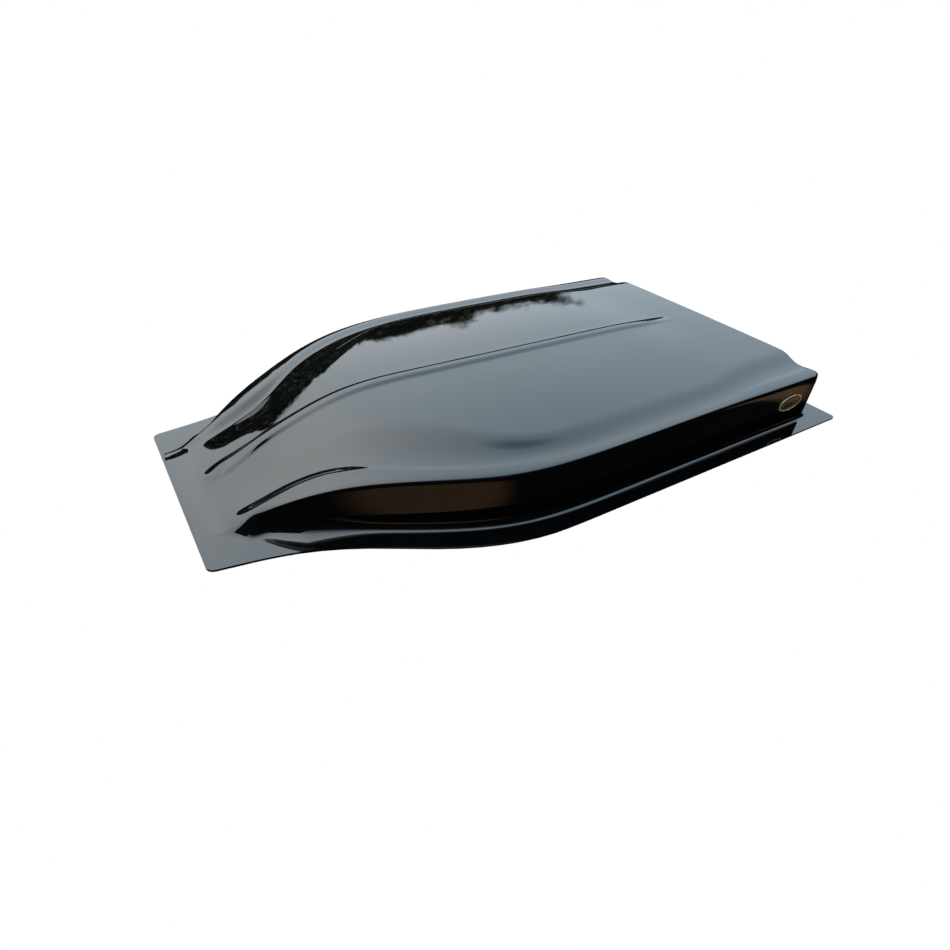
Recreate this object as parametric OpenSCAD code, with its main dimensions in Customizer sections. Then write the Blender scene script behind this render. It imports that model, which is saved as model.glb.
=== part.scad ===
// Low roof vent cover: a bonded, thermoformed shell with a hinged, screened outlet across its rear.
// Front edge at -Y, outlet at +Y. The origin is on the roof plane, under the middle of the cover.

/* [Shell] */
// Overall length of the flange, front edge to rear edge
cover_l = 1000; // [970:1:1030]
// Width of the flange along its parallel rear part
cover_w = 588; // [580:1:600]
// Width of the flange at its front edge
nose_w = 306; // [296:1:316]
// Sheet thickness
wall_t = 3; // [2.5:0.1:3.5]
// Height of the crown above the flange, without the bead
crown_h = 94; // [92:1:98]
// Height of the two side ridges above the flange, behind the ramp
ridge_front_h = 73; // [72:1:75]
// Height of the two side ridges above the flange, at the rear
ridge_rear_h = 79; // [78:1:80]
// Rise of the front ramp's middle for each millimetre of length
ramp_slope = 0.465; // [0.45:0.005:0.48]
// Distance from the front edge to the outside of the rear wall
rear_wall_s = 955; // [953:1:956]

/* [Seals] */
// Thickness of the bonding foam under the flange
seal_t = 2; // [1:0.5:3]
// Width of the bonding foam
seal_w = 14; // [10:1:16]

/* [Badge] */
// Length of the oval badge
badge_l = 60; // [40:1:64]
// Height of the oval badge
badge_h = 28; // [20:1:30]

/* [Outlet] */
// Width of the opening in the rear wall
outlet_w = 430; // [400:2:430]
// Height of the opening in the rear wall
outlet_h = 38; // [36:1:38]
// Diameter of the two hinge pins
pin_d = 3; // [2.5:0.1:3.2]
// Number of louvre vanes
vane_count = 4; // [3:1:5]

/* [Hidden] */
$fn = 48;

flange_z = seal_t + wall_t;     // top face of the flange

// ---- Blending helpers ----
function soft_min(a, b, k) = let (h = max(k - abs(a - b), 0) / k) min(a, b) - h * h * k / 4;
function soft_max(a, b, k) = -soft_min(-a, -b, k);
function smooth(t) = let (u = min(max(t, 0), 1)) u * u * (3 - 2 * u);
function mix(a, b, t) = a + (b - a) * t;

// A value that changes smoothly between key stations; keys is a list of [station, value]
function sum(values) = values * [for (v = values) 1];
function key_values(s, keys) = keys[0][1] + sum([for (i = [1 : len(keys) - 1])
    (keys[i][1] - keys[i - 1][1]) * smooth((s - keys[i - 1][0]) / (keys[i][0] - keys[i - 1][0]))]);

// ---- Plan outlines: half widths at a station s, measured from the front edge ----
// Each outline leaves the nose nearly straight, flares at the shoulder, then runs almost parallel.
function flare(s, nose, nose_slope, bend_s, slope, side, k_bend, k_side) =
    soft_min(soft_max(nose + nose_slope * s, nose + nose_slope * bend_s + slope * (s - bend_s), k_bend),
        side, k_side);
foot_inset = 29.5;              // flange edge to wall
crest_inset = 37;               // flange edge to the crest of the ridge
flange_corner_r = 8;            // plan radius of the flange's corners
flange_taper = 0.0076;          // narrowing of the rear part towards the front, for each millimetre
wall_taper = 0.009;
function flange_half(s) = let (side = cover_w / 2 - flange_taper * (cover_l - flange_corner_r - s))
    flare(s, nose_w / 2, 0.154, 114, 0.577, side, 27, 50);
function foot_half(s) = let (side = cover_w / 2 - foot_inset - wall_taper * (cover_l - s))
    soft_max(flare(s, nose_w / 2 - 73, 0.47, 140, 0.6, side, 18, 63), crest_half(s) + 2, 5);
function crest_half(s) = let (side = cover_w / 2 - crest_inset - key_values(s, [[700, 0], [860, 9]]))
    flare(s, nose_w / 2 - 57, 0.18, 154, 0.945, side, 33, 169);
// Crest to the bottom of the groove
function groove_gap(s) = key_values(s, [[50, 23], [120, 26], [250, 21]]);
function groove_half(s) = crest_half(s) - groove_gap(s);

// ---- Heights above the flange ----
tip_h = 0.4;                    // least height, along the front edge of the ramp
function rise(s, start, slope, top, k) = soft_max(soft_min(slope * (s - start), top, k), tip_h, 8);
function centre_h(s) = rise(s, key_values(s, [[60, 21], [130, 13]]), ramp_slope,
    key_values(s, [[690, crown_h], [890, crown_h - 4]]), 37);
function ridge_top(s) = rise(s, 24, 0.67, key_values(s, [[200, ridge_front_h], [850, ridge_rear_h]]), 85);
// Near the front the groove is only a step in the ramp; behind it the floor follows the ridge
function groove_floor(s) = let (depth = key_values(s, [[115, 9], [215, 1.5]]))
    soft_max(mix(centre_h(s) - 1, ridge_top(s) - depth, smooth((s - 35) / 75)), tip_h, 6);

// The crown is gently arched, then drops to the groove over a flank. flank_share is the flank's part
// of the half width, arch_share the arch's part of the drop.
function flank_share(s) = key_values(s, [[165, 0.6], [425, 0.145], [720, 0.145], [860, 0.21]]);
function arch_share(s) = key_values(s, [[130, 0.75], [280, 0.3], [460, 0.6], [700, 0.6], [900, 0.12]]);
function crown_drop(x, s) = let (half = groove_half(s), flank = half * flank_share(s), a = arch_share(s))
    a * pow(x / half, 2) + (1 - a) * smooth((x - half + flank) / flank);

// A flat-topped bead runs along the middle, high at its front end and fading out before the rear wall.
function bead_half(s) = key_values(s, [[50, 23], [130, 14]]);
function bead_flank(s) = key_values(s, [[60, 18], [130, 11]]);
function bead_h(s) = key_values(s, [[26, 0], [66, 6], [200, 3.6], [760, 3.6], [900, 0]]);
function bead(x, s) = bead_h(s) * smooth((bead_half(s) - x) / bead_flank(s));

// Height of the top surface at a plan position, out to the crest of the ridge
function top_h(x_signed, s) = let (x = abs(x_signed), g = groove_half(s))
    x < g
        ? centre_h(s) - (centre_h(s) - groove_floor(s)) * crown_drop(x, s) + bead(x, s)
        : groove_floor(s) + (ridge_top(s) - groove_floor(s)) * smooth((x - g) / groove_gap(s));

// ---- The shell's grid ----
// The top is a grid of rows (stations) and columns. Rings run from its edge over the rounded
// edge, down the wall, through the fillet at the foot and out to the edge of the flange.
edge_r = 7;                     // rounding of the rear edge
corner_r = 16;                  // plan radius of the rear corners
first_s = 6;
last_s = rear_wall_s - edge_r;
rows = concat([for (i = [0 : 17]) mix(first_s, 300, pow(i / 18, 1.1))],
    [for (i = [0 : 4]) mix(300, 480, i / 5)],
    [for (i = [0 : 7]) mix(480, last_s - 14, i / 8)],
    [last_s - 14, last_s - 7, last_s]);
row_n = len(rows) - 1;
half_columns = 11;
// Column c of the right half, from 0 on the centreline to half_columns on the crest
function column_x(c, s) = let (g = groove_half(s), b = bead_half(s), f = g * (1 - flank_share(s)))
    c <= 3 ? b * c / 3
    : c <= 5 ? mix(b, f, (c - 3) / 2)
    : c <= 8 ? mix(f, g, (c - 5) / 3)
    : mix(g, crest_half(s), (c - 8) / 3);
function grid_point(r, c) = let (s = rows[r], x = sign(c) * column_x(abs(c), s)) [x, s, top_h(x, s)];

// The loop of grid points round the top: up the right side, across the rear, down the left, along the front
col_n = 2 * half_columns;
loop_n = 2 * (row_n + col_n);
function loop_rc(j) = j <= row_n ? [j, half_columns]
    : j <= row_n + col_n ? [row_n, half_columns - (j - row_n)]
    : j <= 2 * row_n + col_n ? [2 * row_n + col_n - j, -half_columns]
    : [0, j - 2 * row_n - col_n - half_columns];

// Profile of the rounded edge: share of the way out from crest to foot, and share of the height
// that is left. Low down, near the nose, the edge is a soft hill; at full height it is crisp.
// edge_share is the rounded edge's part of the way out; the wall's draft takes the rest.
edge_angles = [20, 42, 60, 76];
wall_rings = len(edge_angles) + 1;
fillet_rings = 4;
ring_n = wall_rings + fillet_rings + 1; // the last ring is the edge of the flange
function crispness(z) = smooth(z / 60);
function edge_share(s) = key_values(s, [[150, 0.9], [450, 0.95], [850, 1]]);
function edge_left(k, z) = k < wall_rings
    ? pow(cos(edge_angles[k - 1]), mix(0.6, 1 / 12, crispness(z)))
    : mix(0.3, 0.8, crispness(z));

// How far a corner point of the square plan moves in to make a round corner
function rounded(p, q) = [p * sqrt(1 - q * q / 2), q * sqrt(1 - p * p / 2)];
function corner_warp(x, s) = let (x0 = foot_half(last_s) - corner_r, s0 = rear_wall_s - corner_r,
        p = (abs(x) - x0) / corner_r, q = (s - s0) / corner_r)
    p <= 0 || q <= 0 ? [x, s]
    : let (m = rounded(min(p, 1), min(q, 1))) [sign(x) * (x0 + corner_r * m[0]), s0 + corner_r * m[1]];

// Plan position of loop point j in ring k, from the crest (0) to the foot of the wall (wall_rings)
function wall_plan(j, k) = let (rc = loop_rc(j), g = grid_point(rc[0], rc[1]), s = rows[rc[0]],
        side = abs(rc[1]) == half_columns, rear = rc[0] == row_n, front = rc[0] == 0,
        out = side ? sign(rc[1]) * (foot_half(s) - crest_half(s)) : 0,
        along = rear ? edge_r : front ? -first_s / 2 : 0,
        e = k == 0 ? 0 : k < wall_rings ? sin(edge_angles[k - 1]) : 1)
    corner_warp(g[0] + out * e * (k < wall_rings ? edge_share(s) : 1), s + along * e);
function crest_z(j) = let (rc = loop_rc(j)) grid_point(rc[0], rc[1])[2];
// Runs along an edge of the flange: two close points at each end take the round corner
function edge_run(i, n, share, len) = i < 2 ? i * flange_corner_r / 2
    : i > n - 2 ? len - (n - i) * flange_corner_r / 2
    : mix(flange_corner_r, len - flange_corner_r, share);
function edge_square(j) = let (rc = loop_rc(j), c = rc[1])
    abs(c) == half_columns
        ? let (s = edge_run(rc[0], row_n, (rows[rc[0]] - rows[2]) / (rows[row_n - 2] - rows[2]), cover_l))
            [sign(c) * flange_half(s), s]
    : let (s = rc[0] == 0 ? 0 : cover_l, h = flange_half(s), n = half_columns - abs(c))
        [sign(c) * (n < 2 ? h - n * flange_corner_r / 2
            : (h - flange_corner_r) * abs(c) / (half_columns - 2)), s];
function edge_point(j) = let (e = edge_square(j), r = flange_corner_r, h = flange_half(e[1]),
        at_front = e[1] < r, p = (abs(e[0]) - h) / r + 1,
        q = at_front ? 1 - e[1] / r : (e[1] - cover_l) / r + 1)
    p <= 0 || q <= 0 ? e
    : let (m = unit([p, q])) [sign(e[0]) * (h + (m[0] - 1) * r),
        at_front ? (1 - m[1]) * r : cover_l + (m[1] - 1) * r];
// Radius of the fillet between wall and flange
function foot_r(j) = min(key_values(rows[loop_rc(j)[0]], [[80, 32], [210, 13], [905, 12], [948, 7]]),
    0.7 * crest_z(j));
function crisp_point(k, j) = let (z = crest_z(j), r = foot_r(j), w = wall_plan(j, wall_rings),
        e = edge_point(j), out = unit(e - w))
    k == 0 ? [each wall_plan(j, 0), z]
    : k <= wall_rings ? [each wall_plan(j, k), mix(r, z, edge_left(k, z))]
    : let (a = 90 * (k - wall_rings - 1) / (fillet_rings - 1))
        [each (w + out * r * (1 - cos(a))), r * (1 - sin(a))];

// Near the front the steep side of the ridge runs out in a soft hill.
function soft_point(k, j) = let (z = crest_z(j), c = wall_plan(j, 0), q = k / (ring_n - 1),
        reach = soft_min(1.55 * z + 4, 27, 6))
    [each (c + unit(edge_point(j) - c) * reach * q), z * pow(1 - q, 2) * (1 + 1.5 * q)];
soft_s = [50, 92];              // where the soft hill gives way to the steep side
function softness(j) = let (rc = loop_rc(j))
    abs(rc[1]) == half_columns ? 1 - smooth((rows[rc[0]] - soft_s[0]) / (soft_s[1] - soft_s[0])) : 0;
function ring_point(k, j) = k == ring_n ? [each edge_point(j), 0]
    : mix(crisp_point(k, j), soft_point(k, j), softness(j));

// ---- Skin points, outer then inner ----
function unit(v) = v / norm(v);
function upward(v) = v[2] < 0 ? -v : v;
function grid_normal(p) = let (d = 1) // d is the step of the slope measurement
    unit([(top_h(p[0] - d, p[1]) - top_h(p[0] + d, p[1])) / (2 * d),
        (top_h(p[0], p[1] - d) - top_h(p[0], p[1] + d)) / (2 * d), 1]);
function ring_normal(rings, k, j) = k == ring_n ? [0, 0, 1]
    : upward(unit(cross(rings[k][(j + 1) % loop_n] - rings[k][(j - 1 + loop_n) % loop_n],
        rings[k + 1][j] - rings[k - 1][j])));
function place(p) = [p[0], p[1] - cover_l / 2, p[2] + flange_z];

// Closed skin between two loops or rows of point indices
function quad(a, b, c, d) = [[a, b, c], [a, c, d]];
function flipped(faces) = [for (f = faces) [f[2], f[1], f[0]]];

module shell_skin() {
    grid = [for (r = [0 : row_n]) [for (c = [-half_columns : half_columns]) grid_point(r, c)]];
    rings = [for (k = [0 : ring_n]) [for (j = [0 : loop_n - 1]) ring_point(k, j)]];
    inner_grid = [for (row = grid) [for (p = row) p - wall_t * grid_normal(p)]];
    inner_rings = [for (k = [1 : ring_n]) [for (j = [0 : loop_n - 1])
        rings[k][j] - wall_t * ring_normal(rings, k, j)]];
    outer = concat([for (row = grid) each row], [for (k = [1 : ring_n]) each rings[k]]);
    inner = concat([for (row = inner_grid) each row], [for (ring = inner_rings) each ring]);
    grid_count = (row_n + 1) * (col_n + 1);
    at = function(r, c) r * (col_n + 1) + c + half_columns;
    on_ring = function(k, j) let (m = j % loop_n, rc = loop_rc(m))
        k == 0 ? at(rc[0], rc[1]) : grid_count + (k - 1) * loop_n + m;
    skin = concat(
        [for (r = [0 : row_n - 1]) for (c = [-half_columns : half_columns - 1])
            each quad(at(r, c), at(r + 1, c), at(r + 1, c + 1), at(r, c + 1))],
        [for (k = [0 : ring_n - 1]) for (j = [0 : loop_n - 1])
            each quad(on_ring(k, j), on_ring(k, j + 1), on_ring(k + 1, j + 1), on_ring(k + 1, j))]);
    shift = len(outer);
    rim = [for (j = [0 : loop_n - 1])
        each quad(on_ring(ring_n, j), on_ring(ring_n, j + 1),
            on_ring(ring_n, j + 1) + shift, on_ring(ring_n, j) + shift)];
    polyhedron(points = [for (p = concat(outer, inner)) place(p)],
        faces = concat(skin, flipped([for (f = skin) f + [shift, shift, shift]]), rim), convexity = 6);
}

// ---- Outlet and grille layout ----
rear_y = rear_wall_s - cover_l / 2;     // outer face of the rear wall
outlet_z = 21;                          // sill of the opening
frame_w = outlet_w + 34;                // outer size of the outlet frame
frame_z = [13, 67];                     // bottom and top of the outlet frame
gasket_t = 1.5;
frame_t = 4;
frame_y = rear_y + gasket_t;            // inner face of the outlet frame
frame_face = frame_y + frame_t;         // outer face of the outlet frame
hinge = [frame_face + 4.5, frame_z[1] - 4]; // y and z of the hinge axis
barrel_r = 4;
grille_w = outlet_w + 18;
grille_y = frame_face + 1.5;            // back of the grille
grille_t = 8;
grille_z = [frame_z[0] + 0.5, hinge[1] - 1];
light_w = outlet_w - 10;                // clear opening of the grille
light_z = [24, 57];
rebate = 6;                             // how far the screen and spline reach past the clear opening
rebate_t = 3;
screen_t = 0.6;
spline_w = 2.4;
screw_xs = [-190, -70, 70, 190];
screw_zs = [frame_z[0] + 4, frame_z[1] - 4];
magnet_xs = [-205, 0, 205];
magnet_d = 6;
magnet_t = 2;
slip = 0.05;                            // radial clearance of the hinge

// A block standing in the plane of the rear wall: full width, z range, y range
module rear_block(w, z, y) { translate([-w / 2, y[0], z[0]]) cube([w, y[1] - y[0], z[1] - z[0]]); }
// A round bar along +Y from y0 to y1
module along_y(d, x, z, y0, y1, d2 = 0) {
    translate([x, y0, z]) rotate([-90, 0, 0]) cylinder(d1 = d, d2 = d2 > 0 ? d2 : d, h = y1 - y0);
}
module at_screws() { for (x = screw_xs, z = screw_zs) translate([x, 0, z]) children(); }

module cover_shell() {
    color("#15171a") difference() {
        shell_skin();
        rear_block(outlet_w, [outlet_z, outlet_z + outlet_h], [rear_y - 10, rear_y + 5]);
        at_screws() along_y(3.2, 0, 0, rear_y - 10, rear_y + 5);
    }
}

// ---- Bonding foam under the flange ----
seal_inset = 2;
side_seal_s = [24, 974];
function side_seal_edge(inset) = [for (i = [0 : 40])
    let (s = mix(side_seal_s[0], side_seal_s[1], i / 40)) [flange_half(s) - inset, s - cover_l / 2]];
function reversed(list) = [for (i = [len(list) - 1 : -1 : 0]) list[i]];
module side_seal() {
    color("#2b2b2d") linear_extrude(seal_t)
        polygon(concat(side_seal_edge(seal_inset), reversed(side_seal_edge(seal_inset + seal_w))));
}
module right_seal() { side_seal(); }
module left_seal() { mirror([1, 0, 0]) side_seal(); }
module front_seal() {
    w = nose_w - 4 * seal_inset;
    color("#2b2b2d") translate([-w / 2, seal_inset - cover_l / 2, 0]) cube([w, 10, seal_t]);
}
// Two strips, with a gap between them that lets water drain
module rear_seals() {
    gap = 60;
    w = cover_w / 2 - seal_inset - gap / 2;
    color("#2b2b2d") for (m = [0, 1]) mirror([m, 0, 0])
        translate([gap / 2, cover_l / 2 - seal_inset - seal_w, 0]) cube([w, seal_w, seal_t]);
}

// ---- Badge on the right wall ----
badge_s = 884;
badge_z = flange_z + 42;
badge_pad_t = 0.8;
badge_plate_t = 1.2;
badge_wall_x = foot_half(badge_s);
// An oval lying on the right wall, from x0 outwards, turned to follow the wall's taper
module wall_oval(l, h, x0, t) {
    translate([badge_wall_x, badge_s - cover_l / 2, badge_z]) rotate([0, 0, -atan(wall_taper)])
        translate([x0 - badge_wall_x, 0, 0]) rotate([0, 90, 0])
            linear_extrude(t) scale([h / l, 1]) circle(d = l);
}
module badge_pad() { color("#1c1c1c") wall_oval(badge_l - 4, badge_h - 3, badge_wall_x, badge_pad_t); }
module badge_plate() {
    x0 = badge_wall_x + badge_pad_t;
    color("#c9bd86") difference() {
        wall_oval(badge_l, badge_h, x0, badge_plate_t);
        wall_oval(badge_l - 6, badge_h - 5, x0 + 0.6, badge_plate_t);
    }
}
module badge_dome() {
    color("#e8e0b8", 0.6) wall_oval(badge_l - 6, badge_h - 5, badge_wall_x + badge_pad_t + 0.6, 0.9);
}

// ---- Outlet frame, screwed to the rear wall through a foam gasket ----
module outlet_frame() {
    color("#1a1a1a") {
        difference() {
            rear_block(frame_w, frame_z, [frame_y, frame_face]);
            rear_block(outlet_w, [outlet_z, outlet_z + outlet_h], [frame_y - 1, frame_face + 1]);
            at_screws() {
                along_y(3.2, 0, 0, frame_y - 1, frame_face + 1);
                along_y(3.2, 0, 0, frame_face - 1.7, frame_face + 0.01, 6.6);
            }
            for (x = magnet_xs) along_y(magnet_d, x, screw_zs[0], frame_face - magnet_t, frame_face + 1);
        }
        for (m = [0, 1]) mirror([m, 0, 0]) hinge_ear();
    }
}
// Ear that carries one hinge pin, beside the end of the grille
module hinge_ear() {
    x0 = grille_w / 2 + 1;
    difference() {
        union() {
            translate([x0, frame_face, hinge[1] - 4])
                cube([frame_w / 2 - x0, hinge[0] - frame_face, 8]);
            translate([x0, hinge[0], hinge[1]]) rotate([0, 90, 0]) cylinder(r = 4, h = frame_w / 2 - x0);
        }
        translate([x0 - 1, hinge[0], hinge[1]]) rotate([0, 90, 0]) cylinder(d = pin_d, h = frame_w);
    }
}
module frame_gasket() {
    color("#2b2b2d") difference() {
        rear_block(frame_w, frame_z, [rear_y, frame_y]);
        rear_block(outlet_w, [outlet_z, outlet_z + outlet_h], [rear_y - 1, frame_y + 1]);
        at_screws() along_y(3.2, 0, 0, rear_y - 1, frame_y + 1);
    }
}
washer_t = 0.5;
nut_t = 2.4;
inner_y = rear_y - wall_t;
module frame_screws() {
    color("silver") at_screws() {
        along_y(3, 0, 0, inner_y - washer_t - nut_t - 0.6, frame_face - 1.7);
        along_y(3, 0, 0, frame_face - 1.7, frame_face - 0.1, 6);
    }
}
module frame_washers() {
    color("silver") at_screws() difference() {
        along_y(7, 0, 0, inner_y - washer_t, inner_y);
        along_y(3.2, 0, 0, inner_y - washer_t - 1, inner_y + 1);
    }
}
module frame_nuts() {
    color("silver") at_screws() difference() {
        translate([0, inner_y - washer_t - nut_t, 0]) rotate([-90, 0, 0])
            cylinder(d = 6.35, h = nut_t, $fn = 6);
        along_y(3, 0, 0, inner_y - washer_t - nut_t - 1, inner_y);
    }
}
module frame_magnets() {
    color("#b8b8bc") for (x = magnet_xs)
        along_y(magnet_d, x, screw_zs[0], frame_face - magnet_t, frame_face);
}
// Headed pins, from the outside of each ear into the end of the grille
module hinge_pins() {
    color("silver") for (m = [0, 1]) mirror([m, 0, 0]) {
        translate([frame_w / 2 - 24, hinge[0], hinge[1]]) rotate([0, 90, 0]) cylinder(d = pin_d, h = 24);
        translate([frame_w / 2, hinge[0], hinge[1]]) rotate([0, 90, 0]) cylinder(d = 5.5, h = 1.2);
    }
}

// ---- Grille, hung from the hinge at its top edge ----
module grille_frame() {
    color("#1a1a1a") difference() {
        union() {
            rear_block(grille_w, grille_z, [grille_y, grille_y + grille_t]);
            translate([-grille_w / 2, hinge[0], hinge[1]]) rotate([0, 90, 0])
                cylinder(r = barrel_r, h = grille_w);
        }
        rear_block(light_w, light_z, [grille_y - 1, grille_y + grille_t + 1]);
        rear_block(light_w + 2 * rebate, [light_z[0] - 3.5, light_z[1] + 3.5],
            [grille_y - 1, grille_y + rebate_t]);
        for (m = [0, 1]) mirror([m, 0, 0])
            translate([frame_w / 2 - 24.2, hinge[0], hinge[1]]) rotate([0, 90, 0])
                cylinder(d = pin_d + 2 * slip, h = 40);
        for (x = magnet_xs) along_y(magnet_d, x, screw_zs[0], grille_y - 1, grille_y + magnet_t);
        vanes(light_w + 3);
    }
}
vane_tilt = 38;
vane_t = 1.4;
vane_depth = 9;
module vanes(w) {
    pitch = (light_z[1] - light_z[0]) / vane_count;
    for (i = [0 : vane_count - 1])
        translate([0, grille_y + rebate_t + 0.6, light_z[0] + pitch * (i + 0.5) + 2.2])
            rotate([-vane_tilt, 0, 0]) translate([-w / 2, 0, -vane_t / 2]) cube([w, vane_depth, vane_t]);
}
module louvre_vanes() { color("#1a1a1a") vanes(light_w + 3); }
module insect_screen() {
    y1 = grille_y + rebate_t;
    color("#8a8d90") rear_block(light_w + 2 * rebate, [light_z[0] - 3.5, light_z[1] + 3.5],
        [y1 - screen_t, y1]);
}
module screen_spline() {
    y1 = grille_y + rebate_t - screen_t;
    color("#222222") difference() {
        rear_block(light_w + 2 * rebate, [light_z[0] - 3.5, light_z[1] + 3.5], [y1 - spline_w, y1]);
        rear_block(light_w + 2 * (rebate - spline_w),
            [light_z[0] - 3.5 + spline_w, light_z[1] + 3.5 - spline_w], [y1 - spline_w - 1, y1 + 1]);
    }
}
module grille_magnets() {
    color("#b8b8bc") for (x = magnet_xs)
        along_y(magnet_d, x, screw_zs[0], grille_y, grille_y + magnet_t);
}

cover_shell();
front_seal();
left_seal();
right_seal();
rear_seals();
badge_pad();
badge_plate();
badge_dome();
outlet_frame();
frame_gasket();
frame_screws();
frame_washers();
frame_nuts();
frame_magnets();
hinge_pins();
grille_frame();
louvre_vanes();
insect_screen();
screen_spline();
grille_magnets();
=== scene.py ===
"""Looks of the roof vent cover: a gloss-black bonded shell with a screened, hinged outlet grille.

Lengths inside the shape functions are in millimetres, as in the part's source. Stations (s) run from
the front edge of the flange to the rear, heights are above the top face of the flange.
"""
import math
from collections import namedtuple

import bmesh
import bpy
import numpy as np
from mathutils import Matrix, Quaternion, Vector


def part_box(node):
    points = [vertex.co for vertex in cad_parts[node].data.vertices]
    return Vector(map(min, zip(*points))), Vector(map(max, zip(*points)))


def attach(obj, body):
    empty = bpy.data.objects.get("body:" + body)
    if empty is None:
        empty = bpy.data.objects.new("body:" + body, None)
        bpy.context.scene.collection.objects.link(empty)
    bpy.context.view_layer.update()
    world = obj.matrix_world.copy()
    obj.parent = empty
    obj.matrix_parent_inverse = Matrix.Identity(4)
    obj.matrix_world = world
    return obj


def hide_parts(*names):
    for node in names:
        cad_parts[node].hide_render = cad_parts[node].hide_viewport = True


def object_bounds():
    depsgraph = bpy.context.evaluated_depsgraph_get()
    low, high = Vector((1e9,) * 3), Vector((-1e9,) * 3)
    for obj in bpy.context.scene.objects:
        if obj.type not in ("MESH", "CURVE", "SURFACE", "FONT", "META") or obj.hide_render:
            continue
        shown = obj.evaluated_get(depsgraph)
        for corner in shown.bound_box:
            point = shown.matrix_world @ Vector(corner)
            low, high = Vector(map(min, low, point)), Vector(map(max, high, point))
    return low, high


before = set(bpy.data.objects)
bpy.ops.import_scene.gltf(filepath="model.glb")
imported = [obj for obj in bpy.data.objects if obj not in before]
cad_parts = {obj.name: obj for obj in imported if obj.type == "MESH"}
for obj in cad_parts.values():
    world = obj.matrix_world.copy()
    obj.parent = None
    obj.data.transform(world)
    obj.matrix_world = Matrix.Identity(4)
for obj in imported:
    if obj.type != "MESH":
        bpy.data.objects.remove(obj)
cad_low, cad_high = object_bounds()
MM = 0.001

# ---- Driving sizes, in millimetres, taken from the frame where it holds them ----
COVER_L = (cad_high.y - cad_low.y) / MM
COVER_W = (cad_high.x - cad_low.x) / MM
NOSE_W = 306.0
SEAL_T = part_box("left_seal")[1].z / MM
SHEET_T = 3.0
FLANGE_Z = SEAL_T + SHEET_T
REAR_WALL_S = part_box("frame_gasket")[0].y / MM + COVER_L / 2
PAD_T = 0.8                     # foam behind the badge
# Growth of the half width for each millimetre of length, along the parallel rear part
FLANGE_TAPER, WALL_TAPER = 0.0076, 0.009


# ---- Blending helpers ----
def soft_min(a, b, k):
    """The smaller value, rounded off where the two are closer than k."""
    h = np.maximum(k - np.abs(a - b), 0) / k
    return np.minimum(a, b) - h**3 * k / 6


def soft_max(a, b, k):
    return -soft_min(-a, -b, k)


def smooth(t):
    """0 to 1 with no slope or bend at either end."""
    u = np.clip(t, 0, 1)
    return u**3 * (u * (u * 6 - 15) + 10)


def mix(a, b, t):
    return a + (b - a) * t


# ---- Shape of the shell ----
CROWN_H, RIDGE_FRONT_H, RIDGE_REAR_H, TIP_H = 94.0, 73.0, 79.0, 0.4
CROWN_FALL = 4.0                # drop of the crown towards the rear wall
RAMP_SLOPE, RIDGE_SLOPE = 0.465, 0.67
FOOT_INSET, CREST_INSET = 29.5, 37.0
EDGE_R, CORNER_R, FLANGE_CORNER_R = 7.0, 16.0, 8.0
FIRST_S, LAST_S = 6.0, REAR_WALL_S - EDGE_R
SOFT_S = (50, 92)               # stations between which the soft nose turns into crisp walls
TOE_RISE, TOE_START, TOE_LIMIT = 1.55, 4, 27    # reach of the soft hill: per height, least, most


def key_values(s, keys):
    """A value that changes smoothly between key stations; keys is a list of (station, value)."""
    value = keys[0][1]
    for (s0, v0), (s1, v1) in zip(keys, keys[1:]):
        value = value + (v1 - v0) * smooth((s - s0) / (s1 - s0))
    return value


def flare(s, nose, nose_slope, bend_s, slope, side, k_bend, k_side):
    """Half width that leaves the nose on one slope, bends out on another and ends at the side's."""
    start = nose + nose_slope * bend_s
    return soft_min(soft_max(nose + nose_slope * s, start + slope * (s - bend_s), k_bend), side, k_side)


def flange_half(s):
    side = COVER_W / 2 - FLANGE_TAPER * (COVER_L - FLANGE_CORNER_R - s)
    return flare(s, NOSE_W / 2, 0.154, 114, 0.577, side, 41, 75)


def foot_half(s):
    side = COVER_W / 2 - FOOT_INSET - WALL_TAPER * (COVER_L - s)
    wall = flare(s, NOSE_W / 2 - 73, 0.47, 140, 0.6, side, 27, 95)
    return soft_max(wall, crest_half(s) + 2, 8)


def crest_half(s):
    side = COVER_W / 2 - CREST_INSET - key_values(s, [(700, 0), (860, 9)])
    return flare(s, NOSE_W / 2 - 57, 0.18, 154, 0.945, side, 49, 253)


def groove_gap(s):
    return key_values(s, [(50, 23), (120, 26), (250, 21)])


def groove_half(s):
    return crest_half(s) - groove_gap(s)


def rise(s, start, slope, top, k):
    """A ramp from the flange up to a level top, rounded over k."""
    return soft_max(soft_min(slope * (s - start), top, k), TIP_H, 12)


def centre_h(s):
    start = key_values(s, [(60, 21), (130, 13)])
    crown = key_values(s, [(690, CROWN_H), (890, CROWN_H - CROWN_FALL)])
    return rise(s, start, RAMP_SLOPE, crown, 55)


def ridge_top(s):
    ridge = key_values(s, [(200, RIDGE_FRONT_H), (850, RIDGE_REAR_H)])
    return rise(s, 24, RIDGE_SLOPE, ridge, 128)


def groove_floor(s):
    depth = key_values(s, [(115, 9), (215, 1.5)])
    floor = mix(centre_h(s) - 1, ridge_top(s) - depth, smooth((s - 35) / 75))
    return soft_max(floor, TIP_H, 9)


def flank_share(s):
    """How much of the way from centreline to groove is the crown's steeper flank."""
    return key_values(s, [(165, 0.6), (425, 0.145), (720, 0.145), (860, 0.21)])


def arch_share(s):
    """How much of the crown's drop to the groove is an even arch; the flank takes the rest."""
    return key_values(s, [(130, 0.75), (280, 0.3), (460, 0.6), (700, 0.6), (900, 0.12)])


def edge_share(s):
    """How much of the way from crest to foot the rounded edge takes; the wall's draft takes the rest."""
    return key_values(s, [(150, 0.9), (450, 0.95), (850, 1)])


def fillet_r(s, crest_z):
    """Radius between wall and flange."""
    return min(key_values(s, [(80, 32), (210, 13), (905, 12), (948, 7)]), 0.7 * crest_z)


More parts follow.
